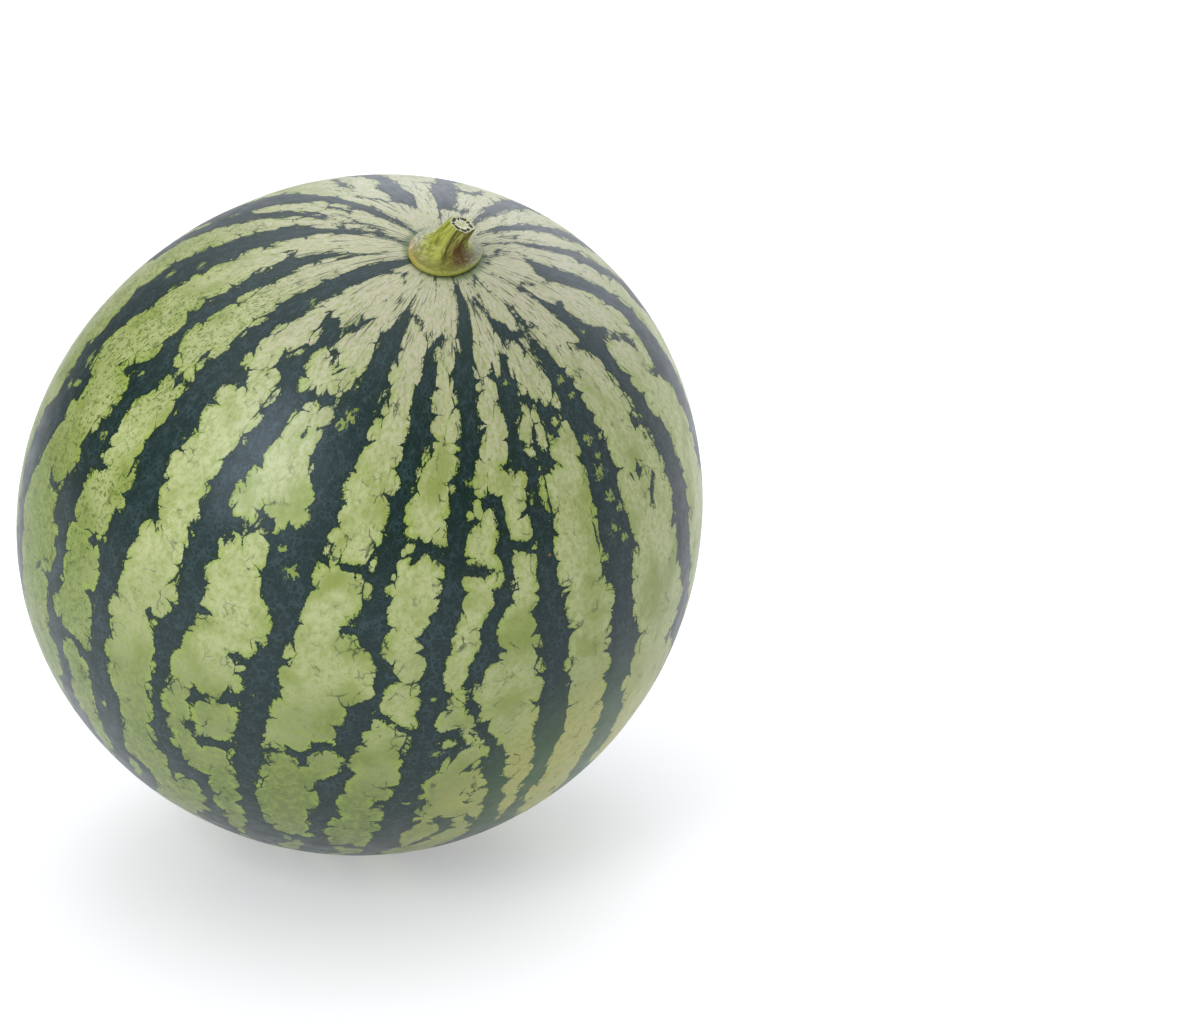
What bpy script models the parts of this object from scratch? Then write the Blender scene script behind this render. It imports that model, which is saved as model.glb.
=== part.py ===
"""A whole round watermelon with its cut stem, resting on its own small flat spot.

Metres, +Z up. The origin is the middle of the base of the whole object's box, on the plane that it rests on.
The fruit is one closed body. The stem is a second one, seated on the crown with a hair of clearance.
"""

from math import atan2, cos, pi, radians, sin, tan

import bmesh
import bpy
from mathutils import Matrix, Vector

# The fruit: a near-sphere, a little longer in one slanting direction and a little three-sided.
FRUIT_LENGTH = 0.2052  # along the long direction
FRUIT_WIDTH = 0.1952  # across it
LONG_RISE_DEG = 44.6  # the long direction, above the horizontal
LONG_TURN_DEG = -5.1  # and turned from +X towards +Y
SIDE_SWELL = 0.0015  # how far each of the three sides swells out, and sinks between them
SIDE_TURN_DEG = 64.8  # the first swelling, round the stem's axis
SIDES = 3
REST_SPOT_RADIUS = 0.017  # the flat spot that the fruit stands on

# Where the stem is: its axis leans away from the vertical.
STEM_LEAN_DEG = 26.8
STEM_TURN_DEG = -62.1  # the side it leans to, from +X towards +Y

# The shallow dips at the two ends of that axis.
CROWN_DIP_DEPTH = 0.0009
CROWN_DIP_WIDTH = 0.016
BLOSSOM_DIP_DEPTH = 0.0018
BLOSSOM_DIP_WIDTH = 0.010

# The stem: a flared foot on the crown, and a ribbed neck that bends over to a slanting cut.
STEM_SEAT_GAP = 0.0003
STEM_FOOT_RADIUS = 0.0102
STEM_FOOT_OVAL = 0.0011  # longer than that along one direction, and shorter across it
STEM_FOOT_OVAL_TURN_DEG = 53.0  # that direction, round the stem's axis
STEM_FOOT_RIM = 0.0013  # thickness of the foot at its edge
STEM_FOOT_EDGE = 0.0004  # rounding of that edge
STEM_SHOULDER_RADIUS = 0.0092  # where the foot starts to rise into the neck
STEM_NECK_RADIUS = 0.0047
STEM_NECK_START = 0.0055  # height at which the flare has become the neck
STEM_CUT_RADIUS = 0.0036
STEM_HEIGHT = 0.0103
STEM_BEND = 0.0028  # how far the cut end has bent over sideways
STEM_BEND_TURN_DEG = 8.0  # the side it bends to, round the stem's axis
STEM_CUT_SLANT_DEG = 11.0
STEM_RIBS = 5
STEM_RIB_DEPTH = 0.0002

# Mesh fineness.
FRUIT_SEGMENTS = 56
FRUIT_RINGS = 36
STEM_SIDES = 40
STEM_SEAT_RINGS = 3
STEM_FLARE_RINGS = 6
STEM_NECK_RINGS = 4

UP = Vector((0.0, 0.0, 1.0))


def slanting(rise_deg, turn_deg):
    """Unit vector that rises above the horizontal, turned from +X towards +Y."""
    rise = radians(rise_deg)
    turn = radians(turn_deg)
    return Vector((cos(rise) * cos(turn), cos(rise) * sin(turn), sin(rise)))


LONG_DIRECTION = slanting(LONG_RISE_DEG, LONG_TURN_DEG)
STEM_AXIS = slanting(90.0 - STEM_LEAN_DEG, STEM_TURN_DEG)
TILT = UP.rotation_difference(STEM_AXIS).to_matrix()
STRETCH = Matrix.Scale(FRUIT_WIDTH / 2, 3) @ Matrix.Scale(FRUIT_LENGTH / FRUIT_WIDTH, 3, LONG_DIRECTION)
CROWN_NORMAL = (STRETCH.inverted() @ STEM_AXIS).normalized()


def dip(distance, depth, width):
    """Depth of a smooth round hollow at a distance from its middle."""
    return depth * 2.0 ** (-((2.0 * distance / width) ** 2))


def skin_point(direction):
    """Point of the skin, from the fruit's centre. The direction is given with the stem at +Z."""
    polar = direction.angle(UP)
    around = atan2(direction.y, direction.x)
    swell = SIDE_SWELL * cos(SIDES * (around - radians(SIDE_TURN_DEG))) * sin(polar) ** SIDES
    swell -= dip(polar * FRUIT_WIDTH / 2, CROWN_DIP_DEPTH, CROWN_DIP_WIDTH)
    swell -= dip((pi - polar) * FRUIT_WIDTH / 2, BLOSSOM_DIP_DEPTH, BLOSSOM_DIP_WIDTH)
    point = STRETCH @ (TILT @ direction)
    return point + point.normalized() * swell


def seat_point(radius, angle):
    """Point of the skin at a distance from the crown's middle, at an angle round the stem's axis."""
    polar = radius / (FRUIT_WIDTH / 2)
    return skin_point(Vector((sin(polar) * cos(angle), sin(polar) * sin(angle), cos(polar))))


def plain_material(name, colour, roughness):
    """Principled material with one colour and one roughness."""
    material = bpy.data.materials.new(name)
    material.use_nodes = True
    shader = material.node_tree.nodes["Principled BSDF"]
    shader.inputs["Base Color"].default_value = (*colour, 1.0)
    shader.inputs["Roughness"].default_value = roughness
    shader.inputs["Metallic"].default_value = 0.0
    return material


def add_object(name, mesh_maker, material):
    """Finish a bmesh as a named object."""
    mesh = bpy.data.meshes.new(name)
    bmesh.ops.recalc_face_normals(mesh_maker, faces=mesh_maker.faces[:])
    mesh_maker.to_mesh(mesh)
    mesh_maker.free()
    mesh.shade_smooth()
    mesh.set_sharp_from_angle(angle=radians(35.0))
    mesh.materials.append(material)
    made = bpy.data.objects.new(name, mesh)
    bpy.context.scene.collection.objects.link(made)
    return made


def make_fruit():
    """The grown body: a stretched sphere about the stem's axis, cut level where it rests."""
    maker = bmesh.new()
    bmesh.ops.create_uvsphere(maker, u_segments=FRUIT_SEGMENTS, v_segments=FRUIT_RINGS, radius=1.0)
    for vertex in maker.verts:
        vertex.co = skin_point(vertex.co.normalized())
    everything = maker.verts[:] + maker.edges[:] + maker.faces[:]
    rest_height = min(vertex.co.z for vertex in maker.verts) + REST_SPOT_RADIUS**2 / FRUIT_WIDTH
    cut = bmesh.ops.bisect_plane(
        maker, geom=everything, dist=1e-5, plane_co=UP * rest_height, plane_no=-UP, clear_outer=True
    )
    rim = [item for item in cut["geom_cut"] if isinstance(item, bmesh.types.BMEdge)]
    bmesh.ops.edgeloop_fill(maker, edges=rim)
    return add_object("fruit", maker, plain_material("fruit_skin", (0.17, 0.23, 0.10), 0.35))


def stem_outline():
    """(radius, height) of the stem's outer side, from the foot's lower edge to the cut."""
    outline = [
        (STEM_FOOT_RADIUS, STEM_FOOT_EDGE),
        (STEM_FOOT_RADIUS, STEM_FOOT_RIM - STEM_FOOT_EDGE),
        (STEM_FOOT_RADIUS - STEM_FOOT_EDGE, STEM_FOOT_RIM),
    ]
    for step in range(STEM_FLARE_RINGS):
        share = step / STEM_FLARE_RINGS
        radius = STEM_NECK_RADIUS + (STEM_SHOULDER_RADIUS - STEM_NECK_RADIUS) * (1.0 - share) ** 3
        rise = (STEM_NECK_START - STEM_FOOT_RIM) * (0.08 + 0.92 * share)
        outline.append((radius, STEM_FOOT_RIM + rise))
    for step in range(STEM_NECK_RINGS + 1):
        share = step / STEM_NECK_RINGS
        radius = STEM_NECK_RADIUS + (STEM_CUT_RADIUS - STEM_NECK_RADIUS) * share
        outline.append((radius, STEM_NECK_START + (STEM_HEIGHT - STEM_NECK_START) * share))
    return outline


def stem_point(radius, height, angle):
    """Point of the stem: an oval foot turns into a ribbed neck, which bends over to a slanting cut."""
    share = height / STEM_HEIGHT
    oval = STEM_FOOT_OVAL / STEM_FOOT_RADIUS * cos(2 * (angle - radians(STEM_FOOT_OVAL_TURN_DEG)))
    ribs = STEM_RIB_DEPTH / STEM_NECK_RADIUS * cos(STEM_RIBS * angle)
    ribbed = radius * (1.0 + oval * (1.0 - share) + ribs * share)
    bend_angle = radians(STEM_BEND_TURN_DEG)
    bend_side = TILT @ Vector((cos(bend_angle), sin(bend_angle), 0.0))
    slant = tan(radians(STEM_CUT_SLANT_DEG)) * ribbed * cos(angle - bend_angle) * share**3
    lift = STEM_SEAT_GAP + height - slant
    return seat_point(ribbed, angle) + CROWN_NORMAL * lift + bend_side * STEM_BEND * share**2


def add_ring(maker, radius, height):
    """One ring of the stem's points."""
    angles = [2.0 * pi * side / STEM_SIDES for side in range(STEM_SIDES)]
    return [maker.verts.new(stem_point(radius, height, angle)) for angle in angles]


def make_stem():
    """The cut stem: rings from the middle of its seat, round the foot and up the neck to the cut."""
    maker = bmesh.new()
    seat_radius = STEM_FOOT_RADIUS - STEM_FOOT_EDGE
    rings = [add_ring(maker, seat_radius * (i + 1) / STEM_SEAT_RINGS, 0.0) for i in range(STEM_SEAT_RINGS)]
    rings += [add_ring(maker, radius, height) for radius, height in stem_outline()]
    for lower, upper in zip(rings, rings[1:]):
        for side in range(STEM_SIDES):
            after = (side + 1) % STEM_SIDES
            maker.faces.new((lower[side], lower[after], upper[after], upper[side]))
    for ring, height in ((rings[0], 0.0), (rings[-1], STEM_HEIGHT)):
        middle = maker.verts.new(stem_point(0.0, height, 0.0))
        for side in range(STEM_SIDES):
            maker.faces.new((middle, ring[side], ring[(side + 1) % STEM_SIDES]))
    return add_object("stem", maker, plain_material("stem_green", (0.27, 0.30, 0.07), 0.40))


def stand_on_origin(pieces):
    """Move the pieces together, so that the origin is the middle of the base of their box."""
    points = [vertex.co for piece in pieces for vertex in piece.data.vertices]
    lowest = Vector([min(point[axis] for point in points) for axis in range(3)])
    highest = Vector([max(point[axis] for point in points) for axis in range(3)])
    middle = (lowest + highest) / 2
    for piece in pieces:
        piece.location = (-middle.x, -middle.y, -lowest.z)


def clear_scene():
    """Start from an empty scene."""
    for existing in list(bpy.data.objects):
        bpy.data.objects.remove(existing, do_unlink=True)


clear_scene()
stand_on_origin([make_fruit(), make_stem()])
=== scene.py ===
"""The looks of a whole striped watermelon and its cut stem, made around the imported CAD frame."""

import random
from functools import partialmethod
from math import cos, pi, radians, sin, tan

import bpy
import numpy as np
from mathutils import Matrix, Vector, noise


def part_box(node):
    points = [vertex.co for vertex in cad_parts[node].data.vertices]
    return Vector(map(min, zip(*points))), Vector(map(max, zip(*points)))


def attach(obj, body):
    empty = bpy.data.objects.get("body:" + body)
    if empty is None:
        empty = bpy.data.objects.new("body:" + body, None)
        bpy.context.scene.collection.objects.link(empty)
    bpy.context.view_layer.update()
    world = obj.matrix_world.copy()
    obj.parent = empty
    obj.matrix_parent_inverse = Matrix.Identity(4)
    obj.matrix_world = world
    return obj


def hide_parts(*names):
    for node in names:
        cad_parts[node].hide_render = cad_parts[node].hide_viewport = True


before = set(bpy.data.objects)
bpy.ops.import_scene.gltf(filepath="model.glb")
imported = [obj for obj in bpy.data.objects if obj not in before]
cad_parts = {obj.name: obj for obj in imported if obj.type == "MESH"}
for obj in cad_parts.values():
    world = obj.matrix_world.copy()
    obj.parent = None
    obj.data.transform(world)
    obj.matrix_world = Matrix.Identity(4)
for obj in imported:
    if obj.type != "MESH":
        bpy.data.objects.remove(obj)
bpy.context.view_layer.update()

# The fruit's shape, with the values of part.py, in metres and degrees.
FRUIT_LENGTH = 0.2052
FRUIT_WIDTH = 0.1952
LONG_RISE_DEG = 44.6
LONG_TURN_DEG = -5.1
SIDE_SWELL = 0.0015
SIDE_TURN_DEG = 64.8
SIDES = 3
STEM_LEAN_DEG = 26.8
STEM_TURN_DEG = -62.1
CROWN_DIP_DEPTH = 0.0009
CROWN_DIP_WIDTH = 0.016
BLOSSOM_DIP_DEPTH = 0.0018
BLOSSOM_DIP_WIDTH = 0.010

# The stem's shape, with the values of part.py, in metres and degrees.
STEM_SEAT_GAP = 0.0003
STEM_FOOT_RADIUS = 0.0102
STEM_FOOT_OVAL = 0.0011
STEM_FOOT_OVAL_TURN_DEG = 53.0
STEM_FOOT_RIM = 0.0013
STEM_FOOT_EDGE = 0.0004
STEM_SHOULDER_RADIUS = 0.0092
STEM_NECK_RADIUS = 0.0047
STEM_NECK_START = 0.0055
STEM_CUT_RADIUS = 0.0036
STEM_HEIGHT = 0.0103
STEM_BEND = 0.0028
STEM_BEND_TURN_DEG = 8.0
STEM_CUT_SLANT_DEG = 11.0
STEM_RIBS = 5
STEM_RIB_DEPTH = 0.0002

# Mesh fineness.
SKIN_STEPS = 128  # squares along each edge of the cube that the skin's mesh is blown up from
CUBE_SIDES = 6
MAP_MARGIN = 0.004  # empty border round each square of the unwrapped map
STEM_SIDES = 180
STEM_SEAT_STEPS = 6
STEM_EDGE_STEPS = 4
STEM_FLARE_STEPS = 22
STEM_NECK_STEPS = 26
STEM_CUT_STEPS = 24

# The skin's slight unevenness: (depth, size) of the bumps, in metres.
SKIN_WAVES = (0.00010, 0.016)
SKIN_RIPPLES = (0.00004, 0.006)

FLARE_BEND = 2.4  # how sharply the stem's foot curves up into its neck
FLARE_START = 0.08  # the share of the flare's height at which it leaves the foot

# The relief of the stem's side and of its cut, in metres.
STEM_RIDGES = 0.00022
STEM_STRANDS = 0.00028
STEM_WOBBLE = 0.00035
STEM_VEINS = 0.00006
CUT_VESSEL_DEPTH = 0.00022
CUT_PITH_DEPTH = 0.00018
CUT_GRAIN_DEPTH = 0.0001
CUT_FRAY = 0.00016
CUT_MIDDLE_DEPTH = 0.0002

# Metres in a millimetre, and millimetres on the skin for one degree away from the stem.
MM = 0.001
SKIN_RADIUS_MM = FRUIT_WIDTH / 2 / MM
MM_PER_DEGREE = radians(SKIN_RADIUS_MM)

# The dark stripes. Each point is (angle from the stem, turn round it, width), in degrees.
# A stripe runs on by itself from its last point to the blossom end.
STRIPES = (
    ((5, -151, 15), (10, -151.5, 14), (14, -152.5, 14), (17, -152.5, 12), (20, -152, 9.5), (25, -151.5, 9),
     (29, -151, 6.6), (34, -150, 5), (37, -148.5, 5), (40, -147.5, 7.4), (43, -147.5, 7.6),
     (46, -146.5, 6.4), (50, -144.5, 5), (55, -145, 6.4), (59, -143, 6.6), (63, -141.5, 6.4),
     (66, -141, 4.6), (69, -141.2, 6.4), (72, -141, 4.6), (76, -139.8, 4.2), (81, -139, 3.4),
     (86, -137.4, 3.4), (91, -137, 3.2), (95, -136, 5.6), (99, -134, 6.2), (105, -132.8, 5.4),
     (110, -132.2, 4.2), (116, -131.5, 4), (122, -132, 7)),
    ((22.6, -139.6, 1.6), (23.6, -136, 5), (24.4, -132, 7), (26, -129.5, 3)),
    ((24.8, -133.5, 7), (27.5, -132.8, 3.4), (30, -133, 3.6), (32.4, -134.2, 6.4), (34.4, -131, 4),
     (36.5, -128, 5.6), (41, -128, 5.2), (46, -127.9, 4.8), (51, -129.2, 4.6), (54, -128.4, 5),
     (57, -127.6, 5.4), (60, -126.4, 5), (65, -125.8, 3.8), (69, -125, 4.8), (72.5, -123.8, 3.8),
     (75, -124, 3.8), (78, -125.4, 5), (81, -125, 3.2), (85, -124.4, 2.2), (90, -124, 2), (94, -123.3, 2.4),
     (98, -122, 3), (101, -120.6, 3.6), (104.4, -118.4, 4), (105, -114.4, 4), (108, -112.5, 2.4),
     (112, -111.6, 2), (117, -110.4, 3.4)),
    ((5, -110, 2), (8, -110.8, 0.8), (11, -111.6, 1.2), (14, -111, 3), (17, -110, 6.4), (21, -110.2, 8.4),
     (26, -110, 8.8), (31, -109.4, 8.4), (35, -110, 10), (40, -110.4, 10), (44, -109.2, 7.4), (48, -108, 5),
     (53, -108.2, 5.2), (57, -110.5, 9.5), (61, -109.4, 8), (66, -108, 4.8), (71, -107.3, 3),
     (75.5, -108.6, 4.8), (80, -108, 6), (85, -107.8, 4), (90, -107.3, 4), (95, -106.6, 5),
     (101, -106, 3.2), (105, -105.2, 1.8), (110, -103.8, 3.2), (115, -102, 5), (121, -100, 7)),
    ((19.2, -93, 2), (22, -92.8, 3.2), (25, -92, 3.8), (29, -92.5, 5.4), (35, -92.6, 6), (40, -93, 3.8),
     (46, -93.5, 3), (50, -92.6, 2.6), (54, -94, 3), (57, -94, 2.6), (60, -93.4, 3.2), (63.5, -93.6, 6),
     (66, -92.6, 4.4), (68.5, -91.5, 1.6), (71, -90.2, 1.8), (73, -89.2, 2.6), (75.6, -89.4, 1.2),
     (78, -91, 3), (81, -92, 3.4), (84.5, -92.6, 3.8), (88, -91.6, 1.4), (90.5, -91, 1.1), (93, -91.2, 2.6),
     (96, -92.6, 4.4), (100, -92.2, 2.8), (105, -92.2, 3.6), (109, -92.2, 2.6), (114, -91.6, 1.6),
     (119, -90, 5)),
    ((5, -75, 7), (12, -75.4, 8), (16, -76, 8.6), (20, -77.2, 6.4), (25, -79.6, 7.4), (30, -78.6, 5.8),
     (35, -78, 5.6), (40, -79.4, 4.2), (46, -81, 4.2), (50, -81, 3.6), (55, -80.8, 2.8), (60, -81, 3.4),
     (65, -81.8, 4.6), (70, -81.2, 2.6), (75, -81, 4), (80, -81, 2.8), (84, -80.4, 4), (87.5, -80, 6),
     (92, -80.4, 4), (98, -80.6, 4.6), (105, -79.6, 5), (110, -80, 3.8), (116, -78.8, 6)),
    ((7, -65.5, 1.5), (9.5, -63.4, 2), (11.6, -62.6, 6), (14, -60.6, 2.6), (16.8, -56.4, 6.6),
     (18.6, -57, 4.4), (21, -59.6, 2), (24.4, -62.6, 4), (27.4, -63.4, 8), (30, -65, 5.4), (34, -65.8, 2.2),
     (38.4, -65.4, 4), (40, -62.8, 3), (44, -62.6, 2.4), (47, -62.4, 4), (50.6, -62, 4), (54, -62.4, 3),
     (59, -62, 4), (66, -60.6, 6), (74, -60.2, 3.4), (83, -59.4, 5.4), (92, -58.6, 3), (101, -58.6, 2.2),
     (109, -58, 3)),
    ((43.5, -72.8, 0.8), (46, -72, 1.8), (49, -71.4, 2), (51.6, -70.4, 3), (55, -70, 2.2), (60, -71.4, 2.8),
     (63.5, -72.8, 3), (67, -72.8, 3.6), (70, -74.2, 2.4), (72.6, -75.2, 1.6), (75.4, -74.6, 0.8),
     (80, -72.4, 0.8), (86, -68.4, 2), (90, -67.4, 2.4), (95, -65.4, 2.4), (103, -64, 3.4),
     (110, -62.6, 4)),
    ((5, -42, 5), (9, -42.4, 2), (13, -41.6, 3), (17, -41.2, 4.6), (21, -44, 3.8), (26, -43.4, 4.6),
     (30, -42.6, 7.4), (35, -43.5, 7), (40, -44, 8), (46, -44.3, 8.8), (52, -44.8, 7.6), (58, -44.6, 7),
     (66, -45.5, 4), (74, -45, 7), (83, -46, 4), (92, -45, 6.5), (101, -46, 4)),
    ((5, -19, 8), (9, -20.6, 3), (13, -21.4, 3), (16, -20.4, 4.4), (20, -18.6, 6.4), (25, -18.4, 8.6),
     (29, -18, 9.6), (33, -20, 4.6), (40, -20.6, 5), (46, -20, 5.2), (51, -20.2, 6.2), (56, -21, 6.6),
     (61, -21.8, 6.6), (67, -24, 6.6), (75, -23, 4)),
    ((6.6, 6, 8), (9, 12, 5)),
    ((14, 13, 4), (16.6, 8, 12), (20, 7.6, 10.4), (25, 9.4, 7.8), (30, 10.4, 7), (35, 9.6, 7.8),
     (39.5, 6.6, 10.5), (43.5, 3.6, 13), (48, 4, 10.5), (54, 2, 8), (61, -1, 7)),
    ((5, 31, 8), (10, 31.7, 5), (15, 29, 2.8), (20, 28.5, 4.4), (26, 28.4, 6), (32, 27, 7)),
    ((8, 49, 2), (11, 47.4, 4.6), (15, 46.4, 7), (20, 45, 5.6), (25, 43.6, 5), (31, 42, 6)),
    ((9, 64, 3), (13, 63.4, 5), (19, 62.6, 7), (24, 63, 7.4), (30, 62, 8)),
    ((6.4, 96, 3), (9, 93.5, 3.4), (12, 94, 3), (15, 89, 13), (20, 89, 12.6), (23.6, 88.6, 12),
     (28, 87, 5.6), (34, 86, 7)),
    ((11, 112.4, 2), (13.4, 112.4, 5), (16, 112.4, 12), (20, 112, 11), (25, 110.6, 6), (32, 109.6, 6)),
    ((5, 140, 9), (10, 139, 8.6), (15, 139, 8), (20, 138.4, 6.4), (25, 138.6, 5), (30, 141, 7),
     (37, 142, 11), (44, 144, 9)),
    ((13, 154.3, 3.4), (18, 155, 3), (25, 153.6, 3.6), (33, 153, 3), (40, 152.5, 7), (48, 153, 5)),
    ((5, 170, 14), (8, 167, 9), (11, 164.6, 5.6), (15, 164.6, 6), (19, 166, 5), (22, 166.4, 7.4),
     (26, 166.6, 9.6), (30, 169, 8.4), (35, 171, 9), (41, 172.6, 9), (46, 173.6, 10), (50, 175.4, 11),
     (53.5, 177.6, 6.6), (58, 179.4, 4.6), (60.5, 181, 5), (63.4, 182.6, 7), (66.5, 184.6, 7.4),
     (70, 186.2, 7.6), (75, 186, 9), (80, 187, 7), (85, 188.4, 5.4), (89, 190.4, 4.4), (94, 193.5, 5),
     (101, 194, 7)),
    ((9, 188.6, 0.8), (12, 190.4, 2.2), (15.4, 188.6, 3.4), (19, 186.4, 4.2), (22, 186.6, 5),
     (24.6, 187.6, 8), (27.6, 189.8, 5.6), (31, 191.2, 4), (36, 193, 4.6), (39.6, 193, 4.8),
     (43, 195.4, 2.6), (46, 198, 4.4), (48, 199.6, 7), (51.6, 199.6, 7.6), (55, 201, 3.4), (60, 202.4, 3.6),
     (65, 202.7, 5.4), (69, 204.2, 3), (73, 204.4, 5), (75.6, 205, 6), (78.6, 207.4, 2.8), (82, 208.8, 2.2),
     (86, 209, 2.8), (90, 209, 1.6), (93.4, 210.6, 3.2), (96.6, 212.4, 4.6), (100, 214.5, 2.4),
     (104, 215.6, 1.8), (108, 214.8, 4.4), (112, 216, 6.6), (117, 218.5, 6.6)),
    ((52, 126, 1.5), (58, 125, 4)),
    ((88, 172, 1), (94, 173, 3)),
    ((46, 74, 1.2), (52, 75, 4)),
    ((58, 15, 1.2), (64, 14, 4)),
)
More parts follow.
